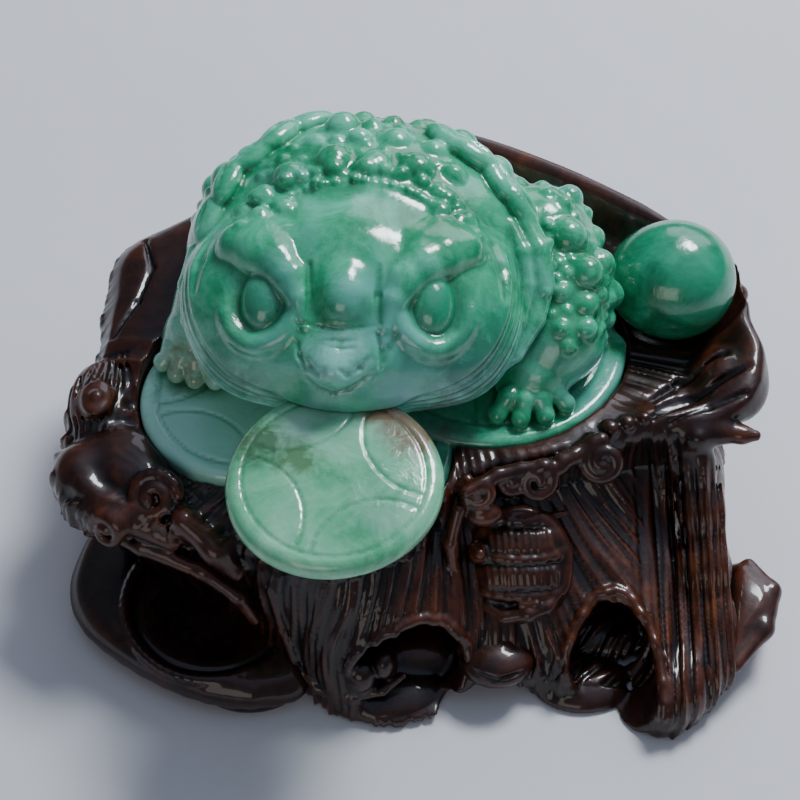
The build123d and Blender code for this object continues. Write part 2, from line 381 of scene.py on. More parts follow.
def face(clay):
    def seen(x, v, out=0.2):
        """The point of the face this far right and up, looking it in the eyes."""
        look = HEAD @ (0, 0.423, -0.906)
        return clay.reach(on_head(x, 0.906 * v, 0.423 * v) - look * 42, look) - look * out

    # skull, cheeks and lower jaw
    clay.blob(HEAD_C, SKULL, 3, HEAD)
    for side in (-1, 1):
        clay.blob(on_head(side * 24 + 1, -7, -4), (18.5, 20, 15), 6, HEAD)
    clay.blob(on_head(0, -8, -8), (37, 21, 15), 5, HEAD)
    clay.push(lips, (HEAD_C - (50, 40, 34), HEAD_C + (50, 36, 28)))
    # forehead, nose, snout, its tip and the upper lip
    for spot, size, k in (
            ((0, 5, 9.5), (21, 15.5, 15), 5), ((-0.8, -7.2, 17.4), (8, 9.8, 8.2), 2),
            ((-1.2, -20.6, 9), (14, 9.6, 8.8), 3.5), ((-2.9, -25.6, 13.2), (5.2, 5, 4.6), 2),
            ((0, -26.5, 2.6), (15, 6.6, 6.2), 4)):
        clay.blob(on_head(*spot), size, k, HEAD)
    for side in (-1, 1):
        eye(clay, side)
        # brow: a broad band with a round outer end and a steep lower edge
        clay.tube([on_skull(side * x, y, up) for x, y, up in BROW], [6.2, 6.8, 6.4, 5.2, 3.6, 1.8], 0.7)
        # its upper side runs out softly into the forehead
        clay.tube([on_skull(side * (x - 0.5), y + 5.2, up - 2) for x, y, up in BROW[:4]],
                  [5, 6, 5.6, 3.6], 3.5)
        # crease beside the nose, fold down the cheek
        clay.tube([seen(side * x - 0.8, v) for x, v in ((8.6, 7.5), (8.4, 0), (8.8, -6.5))],
                  [0.3, 0.5, 0.3], 1.2, cut=True)
        clay.tube([on_skull(side * x, y, 0.8) for x, y in ((36, 11), (38.5, 4), (39.5, -4))],
                  [0.4, 0.8, 0.4], 2.4, cut=True)
    for points, thick in CREASES:
        n = len(points) - 1
        radii = [thick * (0.45 + 0.55 * sin(pi * i / n)) for i in range(n + 1)]
        clay.tube([seen(x, v) for x, v in points], radii, 0.9, cut=True)


# ---- the toad's body ----
TOAD_BOX = (-77, -59, 44), (60, 71, 116)
BODY_C, BODY_S = (-14, 20, 73.5), (48.5, 40, 36)
BED_Z = 46.0
BED_COINS = [(-46, -10, 28.3, 54), (-20, -27, 28.8, 53), (19, 10, 37.8, 55), (-14, 26, 41.7, 54)]
EGG_C = (69.5, 22, 64.3)
# the strings of coins in plan, and the strap from the right one to the chin
STRINGS = ([(-29, 43), (-36, 36), (-42.5, 30), (-48.5, 23), (-53.5, 15)],
           [(7, 34), (13.5, 29.5), (19.5, 24.5), (25, 18.5)])
STRAP = [(27, 15, 93), (30.5, 8, 89.5), (31.5, 1, 84.5), (29.5, -6, 79), (24.5, -13, 74), (17, -18, 70)]


def hand(clay, palm, tips, k=0.6):
    clay.blob(palm, (9.6, 8.6, 5.4), 2.5)
    for tip in np.array(tips, float):
        root = palm + (tip - palm) * (0.35, 0.25, 0.2) + (0, 0, 1.6)
        middle = (root + tip) / 2 + (0, 0, 1.5)
        clay.tube([root, middle, tip], [3, 3, 2.1], k)
        clay.ball(tip + (0, 0.4, 0.3), 2.6, 0.6)


def body_normal(p):
    return unit(np.subtract(p, BODY_C) / np.square(BODY_S))


def limbs_and_head(clay):
    """Trunk, haunches, the one rear leg, arms, face and hands."""
    clay.blob(BODY_C, BODY_S, 3)
    clay.blob((-47, 36, 66), (14, 17, 15), 4)
    clay.blob((20, 44, 66), (14, 14, 15), 4)
    clay.tube([(-14, 46, 72), (-12, 55, 66), (-11, 60, 60)], [15, 11, 7], 3)
    hand(clay, (-11, 60, 58), [(-20, 65, 56.4), (-11.5, 66.5, 56.4), (-2.5, 65, 56.4)])
    clay.tube([(32, 25, 76), (37.5, 11, 71), (36.5, -1, 66), (31.5, -8, 61.5)], [15.5, 13.8, 12, 9], 3)
    clay.tube([(-44, 22, 74), (-53, 12, 68), (-59, 5, 62)], [13, 11.5, 9], 3)
    face(clay)
    hand(clay, (29.5, -10, 59),
         [(20.5, -20, 57), (26.5, -21.5, 57), (33, -20.5, 57), (38.5, -16.5, 57.2)])
    hand(clay, (-59, 4, 60),
         [(-68.5, -2, 57), (-64.5, -6, 57), (-59.5, -8, 57), (-54, -8.5, 57)], 1.2)


def link(clay, c, along, out):
    """One flat oval link, with a groove along its top."""
    size = (7.6, 4, 3)
    z = unit(out)
    x = unit(along - z * np.dot(along, z))
    turn = np.stack([x, np.cross(z, x), z], 1)
    clay.blob(c, size, 0.5, turn)
    clay.blob(c + z * size[2] * 0.95, (size[0] * 0.62, 0.7, 0.8), 0.6, turn, cut=True)


def strings_of_coins(clay):
    """Strings of coins over both shoulders, like a loose braid, and their straps."""
    for row in STRINGS:
        for i, (x, y) in enumerate(row):
            u, v = np.subtract((x, y), BODY_C[:2]) / BODY_S[:2]
            c = (x, y, BODY_C[2] + BODY_S[2] * sqrt(max(1 - u * u - v * v, 0.03)))
            c = c + body_normal(c) * (1.0 + 0.7 * (i % 2))
            before, after = row[max(i - 1, 0)], row[min(i + 1, len(row) - 1)]
            ahead = np.subtract((*after, 0), (*before, 0)) @ turned(14 if i % 2 else -14).T
            link(clay, c, ahead, body_normal(c))
    clay.tube(STRAP, [3.4, 3.8, 3.4, 3, 2.5, 1.8], 0.6)
    clay.tube([np.add(p, (-4, -1.6, 1.4)) for p in STRAP], [2, 2.4, 2.4, 2.2, 1.9, 1.4], 0.6)
    clay.tube([(-57.5, 9, 88), (-60, 3, 82), (-59.5, -4, 76), (-56, -11, 71)], [2.6, 2.6, 2.3, 1.7], 0.8)


def clear_of(spot, r, others):
    """Whether a wart at most touches the others."""
    return all(np.linalg.norm(spot - c) >= 0.93 * (r + q) for c, q in others)


def back_warts(clay, rng):
    """The large warts, and smaller and smaller ones between them."""
    taken = [(np.array(p, float), r) for *p, r in (
        (-38.5, 10.5, 103.2, 4.6), (-33.5, 18.5, 106, 5), (-26, 13.5, 108, 2.2), (-22, 22.5, 108.5, 5.2),
        (-11, 20.5, 109, 4.3), (-0.5, 20, 108, 4.6), (-6, 31, 107, 4.8), (4, 29, 105.5, 3.8),
        (-15.5, 31, 108.5, 3.2), (-20, 39, 106, 4.6), (-27, 31, 106, 3.6), (9, 20.5, 105.5, 3.2))]

    def allowed(p):
        x, y, z = p
        if z < 62 or y < 14.5 + 0.010 * (x + 17) ** 2:
            return False
        for row in STRINGS:
            for a, b in zip(row, row[1:]):
                v = np.subtract(b, a)
                t = min(max((p[:2] - a) @ v / (v @ v), -0.7), 1.3)
                if z > 75 and np.linalg.norm(p[:2] - a - v * t) < 6.0:
                    return False
        return not (x > 12 and y < 24 and z > 80) and not (x < -52 and y < 16)

    for lo, hi, tries in [(4.2, 5.2, 400), (2.8, 3.6, 900), (1.6, 2.2, 1800), (0.9, 1.2, 2600)]:
        for _ in range(tries):
            spot = BODY_C + unit(rng.normal(size=3)) * BODY_S
            r = rng.uniform(lo, hi)
            if allowed(spot) and clear_of(spot, r, taken):
                taken.append((spot, r))
    for spot, r in taken:
        clay.ball(spot - body_normal(spot) * r * 0.42, r * 1.06, 1.1)


def arm_warts(clay, rng):
    """Warts of the right arm, aimed from a hub inside it, and the forearm's folds."""
    hub = np.array((30, 14, 70))
    aims = [(spot - hub, r) for *spot, r in (
        (37.5, 11, 95, 6.2), (33, 1, 90, 5.4), (44, 18, 95, 5.2), (50, 4, 88, 4.6), (41, -6, 88, 2.4),
        (28.5, -8, 82, 2.4), (36, -12, 84, 4.2), (30, 27, 95, 4.6), (52, 14, 80, 4.4),
        (46, -10, 76, 3.2))]
    for lo, hi, tries in [(3.2, 4.2, 120), (1.8, 2.4, 260), (1, 1.4, 420)]:
        for _ in range(tries):
            aims.append((rng.normal(size=3) * (1, 1, 0.8) + (0.7, -0.2, 0.1), rng.uniform(lo, hi)))
    placed = []
    for aim, r in aims:
        d = unit(aim)
        far = hub + d * 40
        if far[0] < 34 or far[2] < 60 or d[2] < -0.30 or (far[1] < -12 and far[2] < 72):
            continue
        spot = clay.reach(far, -d)
        if spot[0] < 26 or spot[2] < 63 or spot[1] < -11:
            continue
        off_strap = min(np.linalg.norm(spot - p) for p in STRAP) > r + 2.5
        if off_strap and clear_of(spot, r, placed):
            placed.append((spot, r))
    for spot, r in placed:
        clay.ball(spot - unit(spot - hub) * r * 0.32, r * 1.05, 1)
    for off in (0, 3.4, 6.6):
        clay.tube([(43.5 - off * 0.4, -3 - off, 66 - off * 0.35),
                   (36 - off * 0.4, -9.5 - off * 0.6, 68.5 - off),
                   (27 - off * 0.2, -9 - off * 0.4, 68 - off)], [0.5, 0.8, 0.5], 1.2, cut=True)


def beads(clay, rng):
    """Beads and small warts along the back of the forehead."""
    for t in np.linspace(22, 148, 24):
        a = radians(t)
        r = 1.0 + 0.5 * rng.random()
        clay.ball(clay.above(-17.5 + 25.5 * cos(a), 1.5 + 12.5 * sin(a), -0.2 * r), r, 0.5)
    for t in np.linspace(15, 155, 15):
        a = radians(t + rng.uniform(-3, 3))
        r = 1.9 + 1.4 * rng.random()
        clay.ball(clay.above(-17.5 + 30 * cos(a), 2.5 + 15.8 * sin(a), -0.35 * r), r, 0.9)
    for x, y, r in [
            (5, 7.5, 3.2), (10, 5, 2.4), (14, 2, 1.8), (-34, 7.5, 3.6), (-40, 5, 2.8), (-44.5, 1, 2)]:
        clay.ball(clay.above(x, y, -0.4 * r), r, 1)


def coin_bed():
    clay = Clay(*TOAD_BOX, 0.5)
    for x, y, r, top in BED_COINS:
        half = (top - BED_Z - 0.1) / 2

        def plate(p):
            return disc([p[0] - x, p[1] - y, p[2] - (BED_Z + 0.1 + half)], r, half, 2.2)

        def motif(p):
            q = [p[0] - x, p[1] - y, p[2] - top + 20]
            return cash_motif(q, r, 20, 0.6, 0.4, 0.35 + x * 0.02)

        clay.add(plate, ((x - r - 3, y - r - 3, 44), (x + r + 3, y + r + 3, 60)), 0)
        clay.cut(motif, ((x - r, y - r, top - 1.5), (x + r, y + r, top + 1.5)), 0.4)
    return clay


def make_toad():
    rng = np.random.default_rng(7)
    clay = Clay(*TOAD_BOX, 0.5)
    limbs_and_head(clay)
    strings_of_coins(clay)
    back_warts(clay, rng)
    arm_warts(clay, rng)
    beads(clay, rng)
    # the coins take the place of everything below the top of the bed
    clay.keep(lambda p: BED_Z + 5.0 - p[2], ((-77, -59, 44), (60, 71, 54)), 1)
    clay.d = smin(clay.d, coin_bed().d, 0.7)
    # the slot for the coin, and room for the egg
    clay.cut(lambda p: coin_form(p, 0.32), ((-50, -84, 62), (8, -24, 84)), 0.4)
    clay.cut(lambda p: (np.sqrt(((p[0] - EGG_C[0]) / 19) ** 2 + ((p[1] - EGG_C[1]) / 17.3) ** 2) - 1) * 17,
             ((46, 2, 44), (60, 42, 100)), 1)
    return clay.object("toad")


def make_egg():
    """An egg lying along X, its blunt end to the right."""
    rings, spokes = 96, 128
    t = pi * np.arange(rings + 1)[:, None] / rings
    a = 2 * pi * np.arange(spokes) / spokes
    x = np.cos(t)
    length = np.where(x > 0, 17, 18.2)
    rad = 16.35 * np.sin(t) * (1 + 0.035 * x)
    points = np.stack([length * x + 0 * a, rad * np.cos(a), rad * np.sin(a)], 2) + EGG_C
    this = np.arange(rings * spokes).reshape(rings, spokes)
    ahead = np.roll(this, -1, axis=1)
    faces = np.stack([this, ahead, ahead + spokes, this + spokes], 2)
    mesh = bpy.data.meshes.new("egg")
    mesh.from_pydata((points * MM).reshape(-1, 3).tolist(), [], faces.reshape(-1, 4).tolist())
    mesh.validate()
    mesh.shade_smooth()
    return show("egg", mesh)


# ---- stand ----
SEAT_EDGE = [(92, 24), (87, 36), (68, 48), (41, 66), (11, 80), (-12, 80), (-42, 71), (-66, 55),
             (-84, 28), (-91, 8), (-93, -30), (-85, -43), (-55, -50), (-36, -59), (-18, -62),
             (0, -55), (15, -41), (36, -35), (60, -26), (82, -19), (91, -3)]
FOOT_EDGE = [(84, 18), (78, 32), (62, 43), (38, 57), (10, 67), (-12, 67), (-40, 61), (-62, 47),
             (-77, 24), (-80, 4), (-78, -24), (-70, -36), (-48, -50), (-36, -66), (-20, -77),
             (-2, -79.5), (20, -72), (45, -73), (68, -79.5), (77, -60), (82, -20)]
CAP_LEFT_EDGE = [(-90, -14), (-97, -36), (-92, -53), (-76, -67), (-58, -76), (-42, -78),
                 (-29, -72), (-38, -52), (-62, -34), (-76, -8)]
CAP_RIGHT_EDGE = [(76, -76), (88, -64), (96, -54), (97, -44), (90, -35), (78, -33), (70, -45),
                  (68, -62)]
# the joint under the seat, the seams between the roots, and a place past them all
JOINT_Z, SEAM_FRONT, SEAM_BACK, SEAM_MIDDLE, FAR = 36, -12, 34, 5, 999
ARCH_RIGHT, ARCH_LEFT = (51, 11.6), (-3, 13.5)  # the arches' middles: right and up
BOWL_C = (-55, -49)  # the middle of the left cap's bowl


def outline(x, y, points):
    """Signed distance in plan to a smooth closed curve through points."""
    a, b, c, d = [np.roll(np.array(points, float), 1 - i, axis=0)[:, None] for i in range(4)]
    t = np.arange(10)[:, None] / 10
    loop = 0.5 * (2 * b + (c - a) * t + (2 * a - 5 * b + 4 * c - d) * t * t
                  + (3 * b - a - 3 * c + d) * t ** 3)
    loop = list(loop.reshape(-1, 2))
    x, y = x[:, :, 0], y[:, :, 0]
    best = np.full(np.broadcast(x, y).shape, 1e9, np.float32)
    inside = np.zeros(best.shape, bool)
    for a, b in zip(loop, loop[1:] + loop[:1]):
        v = b - a
        t = np.clip(((x - a[0]) * v[0] + (y - a[1]) * v[1]) / (v @ v), 0, 1)
        best = np.minimum(best, (x - a[0] - v[0] * t) ** 2 + (y - a[1] - v[1] * t) ** 2)
        if a[1] != b[1]:
            crossing = (a[1] > y) != (b[1] > y)
            inside ^= crossing & (x < a[0] + v[0] * (y - a[1]) / v[1])
    return np.where(inside, -1, 1)[:, :, None] * np.sqrt(best)[:, :, None]


def ridges(w, z):
    """Carved bark across w, its lines running along z."""
    sway = 1.5 * np.sin(z / 8.5 + w / 19) + 0.8 * np.sin(z / 4.1 - w / 7)
    broad = np.sin((w + sway) / 2.35 + 0.9 * np.sin(w / 17))
    mid = 1 - 2 * np.abs(np.sin((w + sway * 0.8) / 1.45 + np.sin(z / 13 + w / 5)))
    fine = np.sin((w + sway * 0.5) * 3.3 + 1.4 * np.sin(z / 6 + w / 3))
    dash = 0.72 + 0.28 * np.sin(z / 2.3 + 3.4 * np.sin(w / 1.7))
    return 0.48 * broad + 0.66 * mid * dash + 0.42 * fine * (1.3 - dash)


def bark(x, y, z):
    """Height of the carved bark: down the apron, fanning out, and round the right arch."""
    cx, cz = ARCH_RIGHT
    fan = 78 * np.arctan2(x - 5, 18 - y)
    ring = np.sqrt((x - cx) ** 2 + (z - cz) ** 2)
    down = np.where(z > cz, x - cx + 0.09 * (z - cz), ring)
    share = step(54, 62, x) * step(0, -24, y)
    return (1 - share) * ridges(fan, z) + share * ridges(down, 0.6 * z - 0.4 * y)


def folds_on_top(x, y, z):
    """Fine veins on the seat's left and a swirl on its right front."""
    left = step(-52, -66, x) * step(14, -2, y)
    right = step(40, 58, x) * step(-4, -14, y)
    vein = np.abs(np.sin((y * 0.55 + x * 0.28 + 2.0 * np.sin(x / 9)) / 1.25))
    swirl = np.abs(np.sin((x * 0.30 - y * 0.62 + 3.2 * np.sin(x / 8.0 + 1)) / 2.6))
    return left * (0.8 * (1 - 2 * vein)) + right * (0.45 * (1 - 1.9 * swirl))


def curl(clay, c, out, r, thick, turns=1.25, start=0.0, way=1, k=0.8):
    """A carved scroll: a spiral roll facing out."""
    turn = axes_to(out)
    n = int(16 * turns)
    path, radii = [], []
    for i in range(n + 1):
        s = i / n
        a = radians(start) + way * s * turns * 2 * pi
        rr = r * (1 - 0.78 * s)
        path.append(c + turn @ (rr * cos(a), rr * sin(a), 1.6 * s))
        radii.append(thick * (1 - 0.35 * s))
    clay.tube(path, radii, k)


def block_out(clay):
    """The plain body with its bark; gives the distance to its wall."""
    x, y, z = clay.window()[1]
    seat = outline(x, y, SEAT_EDGE).astype(np.float32)
    # the seat's edge swells into a leaf at the back left, and draws in beside it and beside the egg
    for out, *where in ((7, -82, 40, 12, 13), (-4.5, -92, 9, 9, 10), (-5, -54, 66, 14, 12)):
        seat = seat - out * hill(x, y, *where)
    seat = seat + 3.2 * step(62, 82, x) * step(-2, 12, y)
    foot = outline(x, y, FOOT_EDGE).astype(np.float32)
    t = np.clip(z / JOINT_Z, 0, 1.1) ** (1 + 0.6 * step(-20, -45, y))
    wall = foot * (1 - t) + seat * t
    # the apron swells over the right arch, and the seat is undercut behind its right edge
    side = wall - 5.5 * hill(x, z, 56, 13, 19, 12) * step(-25, -45, y)
    side = side + 10 * step(66, 84, x) * step(53, 42, z) * step(14, 34, z) * step(28, 0, y)
    # a raised lip round the back and the right, a broad pillow on the left, waves along the edge
    inward = -seat
    back_side = step(-8, 30, y + 0.35 * x)
    leaf = step(-42, -58, x) * step(-16, 0, y)
    dish = 6.5 * back_side * step(2.5, 15, inward) * (1 - leaf)
    pillow = leaf * (7.0 * (1 - np.exp(-np.maximum(inward, 0) / 10)) - 2)
    roll = 1.3 * np.sin(np.arctan2(y, x) * 7 + 0.6) * step(12, 0, inward) * (1 - leaf)
    lip = 3.2 * back_side * step(10, 1, inward) * step(-52, -20, x)
    # its top rises to the back and a little to the right
    top = 55.5 + y * 0.0875 + x * 0.0314
    top = top - dish + lip + pillow + roll * (1 - back_side) - 2.2 * (1 - back_side) * step(5, 0, inward)
    clay.d[:] = smax(smax(side - 0.3, z - top - 0.5, 3.4), FOOT_Z - z, 1.5)
    clay.carve(lambda x, y, z: bark(x, y, z) * step(56, 49, z) * (0.55 + 0.45 * step(20, -30, y)))
    clay.carve(folds_on_top, ((-102, -85, 40), (102, 85, 69)))
    return wall


def left_block(clay):
    """Knots, a striated leaf, two swirls and the ropes below them."""
    clay.blob((-85.5, -9, 49), (8.5, 13, 8), 3)
    clay.blob((-88, -31, 46), (8, 9, 8), 3)
    clay.blob((-76, -30, 50), (13, 9, 5), 3, turned(-42))
    for i in range(6):
        off = np.array((0.66, 0.75, 0)) * (i - 2.5) * 2.9
        clay.tube([(-84, -20, 56) + off, (-76, -29, 56.4) + off * 0.9, (-66, -38, 55) + off * 0.4],
                  [0.6, 0.9, 0.5], 1, True)
    for i in range(8):
        off = (i - 3.5) * 2.1
        groove = [clay.above(x + off * wide, y, 0.2)
                  for x, wide, y in ((-84, 0.7, 3), (-85, 1.1, -8), (-86, 0.8, -22))]
        clay.tube(groove, [0.4, 0.75, 0.4], 0.9, True)
    clay.blob(clay.above(-85, -14), (3.8, 5.4, 1.6), 2.5)
    clay.ball(clay.above(-85, -14, -0.7), 2, 1.2)
    vein = [clay.above(x, y) for x, y in ((-77, 44), (-74, 32), (-77, 20), (-83, 9))]
    clay.tube(vein, [0.3, 0.6, 0.6, 0.3], 1.5, True)
    curl(clay, clay.above(-68, -42, 0.5), (-0.2, -0.7, 0.8), 6.5, 1.9, 1.6, 20)
    curl(clay, clay.front(-80, 44, 0.4), (-0.5, -0.9, 0.3), 5, 1.5, 1.4, 200, -1)
    for rope, radii, k in (
            ([(-93, -26, 40), (-88, -40, 39), (-72, -48.5, 38), (-56, -54, 35), (-47, -58, 29),
              (-43, -60, 21)], [2, 2.2, 2.2, 2.2, 2, 1.4], 1.5),
            ([(-60, -49, 50), (-52, -54, 44), (-47, -57, 38)], [3.2, 3, 1.8], 4),
            ([(-86, -38, 50), (-76, -45, 46), (-64, -50, 42)], [2.8, 3, 1.8], 3.5)):
        clay.tube(rope, radii, k)


def right_lobe(clay):
    """The veined leaf at the right front, and the thick root that curls round the arch."""
    clay.blob((84, -4, 52), (10, 13, 8), 4)
    for vein, radii, k in (
            ([(60, -20), (72, -12), (87, -6)], [0.9, 1.2, 0.8], 1.5),
            ([(66, -21), (76, -17), (86, -14)], [0.8, 1, 0.6], 1.2),
            ([(62, -12), (70, -5), (82, 0)], [0.8, 1.1, 0.7], 1.5)):
        clay.tube([clay.above(x, y) for x, y in vein], radii, k, True)
    clay.blob(clay.above(68, -14, 0.5), (6.5, 3, 1.6), 1.5, turned(20), True)
    clay.tube([(73, -22, 50), (74, -25, 42), (75.5, -33, 33), (76.5, -44, 23), (77.5, -56, 14),
               (76, -66, 9), (70.5, -73, 7), (63.5, -76, 5.4), (56.5, -74.5, 4.4), (51, -72.5, 4.6)],
              [3.4, 3.6, 4.2, 4.8, 5.4, 6, 6, 5.2, 3.6, 1.3], 7)
    # the pointed tail under the leaf
    clay.tube([(74, -21.5, 50.5), (80, -20.5, 51), (85, -21.5, 51), (88.5, -22.3, 51.5)],
              [3.8, 3, 2.3, 1.5], 2)
    clay.blob((73, -22.5, 49), (3.6, 3.4, 6), 1, turned(0, 20))
    clay.carve(lambda x, y, z: bark(x, y, z) * step(62, 68, x) * step(50, 42, z),
               ((55, -85, 0), (102, -15, 50)), 2)


def front_scrolls(clay):
    """The scrolls and beads along the front of the seat, and the stem under them."""
    curl(clay, (47.5, -31.5, 52.5), (0, -0.75, 0.65), 5.4, 2.3, 1.5, 95)
    clay.tube([(44, -28, 55), (40, -31.5, 54.5), (37, -33, 54)], [2, 2.3, 2.6], 0.8)
    for x, y, z, r in ((50, -23, 55, 2.6), (54.5, -21.5, 55.4, 2.3), (45, -26.5, 54.5, 2.1),
                       (59, -20, 55.8, 1.8)):
        clay.ball((x, y, z), r, 0.8)
    curl(clay, (30, -37, 51), (0, -0.75, 0.6), 4.8, 1.7, 1.2, 60, -1)
    curl(clay, (23.5, -36.5, 51.5), (0.1, -0.7, 0.7), 3.8, 1.5, 1.3, 10, -1)
    curl(clay, (15.5, -40, 51), (-0.2, -0.8, 0.6), 4.4, 1.7, 1.3, 150)
    clay.tube([(36.5, -34.5, 53), (32, -35, 54.5), (26, -35.5, 54), (20, -37, 53.5), (12, -42, 53)],
              [1.8, 2, 1.8, 2, 1.6], 1)
    clay.blob((16.5, -43, 45), (5, 3.4, 3.2), 1.5)
    clay.tube([(10, -44, 48), (8, -49, 40), (9, -53, 30)], [1.8, 1.6, 1.2], 1.5)


def arch_right(p):
    rho = np.sqrt((p[0] - ARCH_RIGHT[0]) ** 2 + (p[2] - ARCH_RIGHT[1]) ** 2)
    return rho - 11.0 + 0.05 * np.maximum(p[1] + 66, 0)


def arch_left(p):
    wide = np.sqrt(((p[0] - ARCH_LEFT[0]) / 15) ** 2 + ((p[2] - ARCH_LEFT[1]) / 12.5) ** 2)
    flare = np.clip((p[1] + 60) / 10, 0, 1)
    return (wide - 1 + 0.18 * flare) * 12


def arches(clay):
    """Both arches, their lips, the lobes on their floors and the curl in the left one."""
    clay.cut(arch_right, ((25, -88, -2), (80, -46, 40)), 2.2)
    clay.blob((42, -80, 2), (9, 8, 7.5), 1.5, cut=True)
    clay.blob((19, -76, 0), (15, 11, 7), 1.5, cut=True)
    clay.cut(arch_left, ((-24, -88, 3), (16, -48, 40)), 2.2)
    for (x, z), wide, high, ends, count, thick in (
            (ARCH_RIGHT, 12.6, 12.6, (-10, 195), 20, 1.3), (ARCH_LEFT, 16.2, 13.7, (5, 170), 18, 1.2)):
        lip = [clay.front(x + wide * cos(a), z + high * sin(a), -0.2)
               for a in np.radians(np.linspace(*ends, count))]
        clay.tube(lip, [thick] * count, 1.2)
    clay.blob((-10, -68.5, 2.2), (17, 11, 4.6), 1.5)
    clay.blob((43.5, -67, 1), (13, 9, 4.4), 1.5)
    clay.blob((-15.5, -70, 10.5), (5, 5.5, 7), 1, turned(10, 20))
    clay.blob((-9, -68, 12.5), (3.6, 4.8, 6.8), 0.6, turned(-10, 20))
    clay.tube([(-38.5, -59, 33), (-35.5, -63.5, 21), (-32.5, -67.5, 11), (-27, -72, 7), (-18, -75, 7),
               (-9.5, -74.5, 9.5), (-4, -72, 13)], [0.9, 1.1, 1.2, 1.4, 1.4, 1.2, 0.7], 1)


def hidden_sides(clay):
    """Swellings over the seam dowels, and guessed scrolls and root folds."""
    for x, y in ((-76, -12), (78, -12), (-65, 34), (70, 34)):
        clay.blob((x, y, 18), (7, 15.5, 9), 4.5)
    for x, y, z, r, way in [
            (62, 50, 45, 9, -1), (26, 73, 46, 8, 1), (-28, 74, 42, 8, -1), (-76, 40, 30, 7, 1),
            (-90, 14, 30, 6, -1)]:
        n = unit((x / 95, y / 78, 0.1))
        spot = clay.reach((x, y, z) + n * 14, -n)
        turn = axes_to(n)
        curl(clay, spot - n * 0.4, n, r, r * 0.24, 1.6, 90, way, 1.6)
        tail = [clay.reach(spot + turn @ (-way * r * u, r * v, 0) + n * 12, -n)
                for u, v in ((0, 1), (1.2, 1.15), (2.2, 0.5), (2.8, -0.6))]
        clay.tube(tail, [r * 0.24, r * 0.26, r * 0.22, r * 0.1], 1.8)
    for path in ([(90, 30, 50), (84, 30, 34), (80, 22, 18), (82, 12, 2)],
                 [(50, 60, 52), (46, 57, 34), (50, 50, 18), (44, 54, 2)],
                 [(0, 79, 54), (2, 74, 36), (-4, 69, 18), (2, 67, 2)],
                 [(-52, 64, 52), (-52, 58, 34), (-46, 60, 18), (-52, 54, 2)],
                 [(-79, 22, 40), (-79, 16, 30), (-78, 14, 18), (-79, 4, 2)],
                 [(-84, -34, 40), (-80, -32, 30), (-78, -30, 20), (-76, -28, 2)]):
        clay.tube(path, [3, 3.4, 3.4, 4.6], 4)


def underside(clay, wall):
    """The hollow underneath, and the roots on the floor behind the arches."""
    clay.cut(lambda p: smax(wall + 14, p[2] - 32.5, 3), None, 1)
    clay.cut(lambda p: smax(arch_right(p), 9.5 - p[2], 4), ((30, -70, 0), (80, -40, 34)), 1.5)
    clay.blob((50, -51, 2.5), (17, 9, 5.5), 2)
    clay.blob((38, -58, 1.5), (8, 8, 5), 2)
    clay.carve(lambda x, y, z: 0.9 * ridges(x * 0.8 - y * 0.6, x + y) * step(16, 10, z),
               ((28, -70, 0), (66, -42, 18)), 2)
    clay.blob((-4, -57, 3.5), (18, 10, 7), 2)
    clay.stand_flat()


def bed_recess(p):
    """The room for the bed of coins, a little wider than them."""
    d = [np.sqrt((p[0] - x) ** 2 + (p[1] - y) ** 2) - r - 0.45 for x, y, r, _ in BED_COINS]
    return smax(np.minimum.reduce(d), BED_Z - 0.1 - p[2], 0.5)


def make_stand():
    clay = Clay((-102, -85, -2), (102, 85, 69), 0.55)
    wall = block_out(clay)
    left_block(clay)
    right_lobe(clay)
    front_scrolls(clay)
    arches(clay)
    hidden_sides(clay)
    underside(clay, wall)
    clay.cut(bed_recess, ((-80, -60, 42), (62, 72, 69)), 0.7)
    cup_c = (*EGG_C[:2], EGG_C[2] + 0.3)
    clay.cut(lambda p: blob(p, cup_c, (20.5, 19.2, 18)), ((45, 0, 40), (92, 44, 69)), 1.5)
    return clay


def make_cap_left():
    """A fungus cap with a shallow bowl and a thin ring round it."""
    clay = Clay((-100, -83, -1), (-24, -4, 19), 0.5)
    x, y, z = clay.window()[1]
    cx, cy = BOWL_C
    edge = outline(x, y, CAP_LEFT_EDGE)
    rho = np.sqrt((x - cx) ** 2 + (y - cy) ** 2)
    top = 13.6 - 5.0 * step(24, 44, rho) - 2.0 * step(5, 0, -edge)
    top = top - 5.2 * step(23.5, 8, rho) - 0.9 * np.exp(-((rho - 21.6) / 1.3) ** 2)
    under = 4.6 - 0.10 * np.maximum(-edge, 0)
    clay.d[:] = smax(smax(edge + 0.5, z - top, 3), under - z, 2)
    ring = [(cx + 24 * cos(a), cy + 24 * sin(a), 13.5 - 1.2 * max(0, -sin(a)))
            for a in np.radians(np.linspace(140, 300, 26))]
    clay.tube(ring, [1] * len(ring), 1.2)
    clay.carve(lambda x, y, z: 0.16 * np.sin(x * 1.1 + 1.5 * np.sin(y / 6)) * step(8, 2, z), None, 2)
    clay.tube([(-31, -62, 9.5), (-35, -69, 8.5), (-44, -74, 8.5), (-55, -73.5, 8.8)],
              [3, 3.4, 3, 1.8], 2)
    clay.blob((-45, -67, 2.4), (14, 9.5, 4.4), 1.5)
    clay.blob((-66, -54, 2.2), (12, 11, 4.8), 2)
    clay.stand_flat()
    return clay


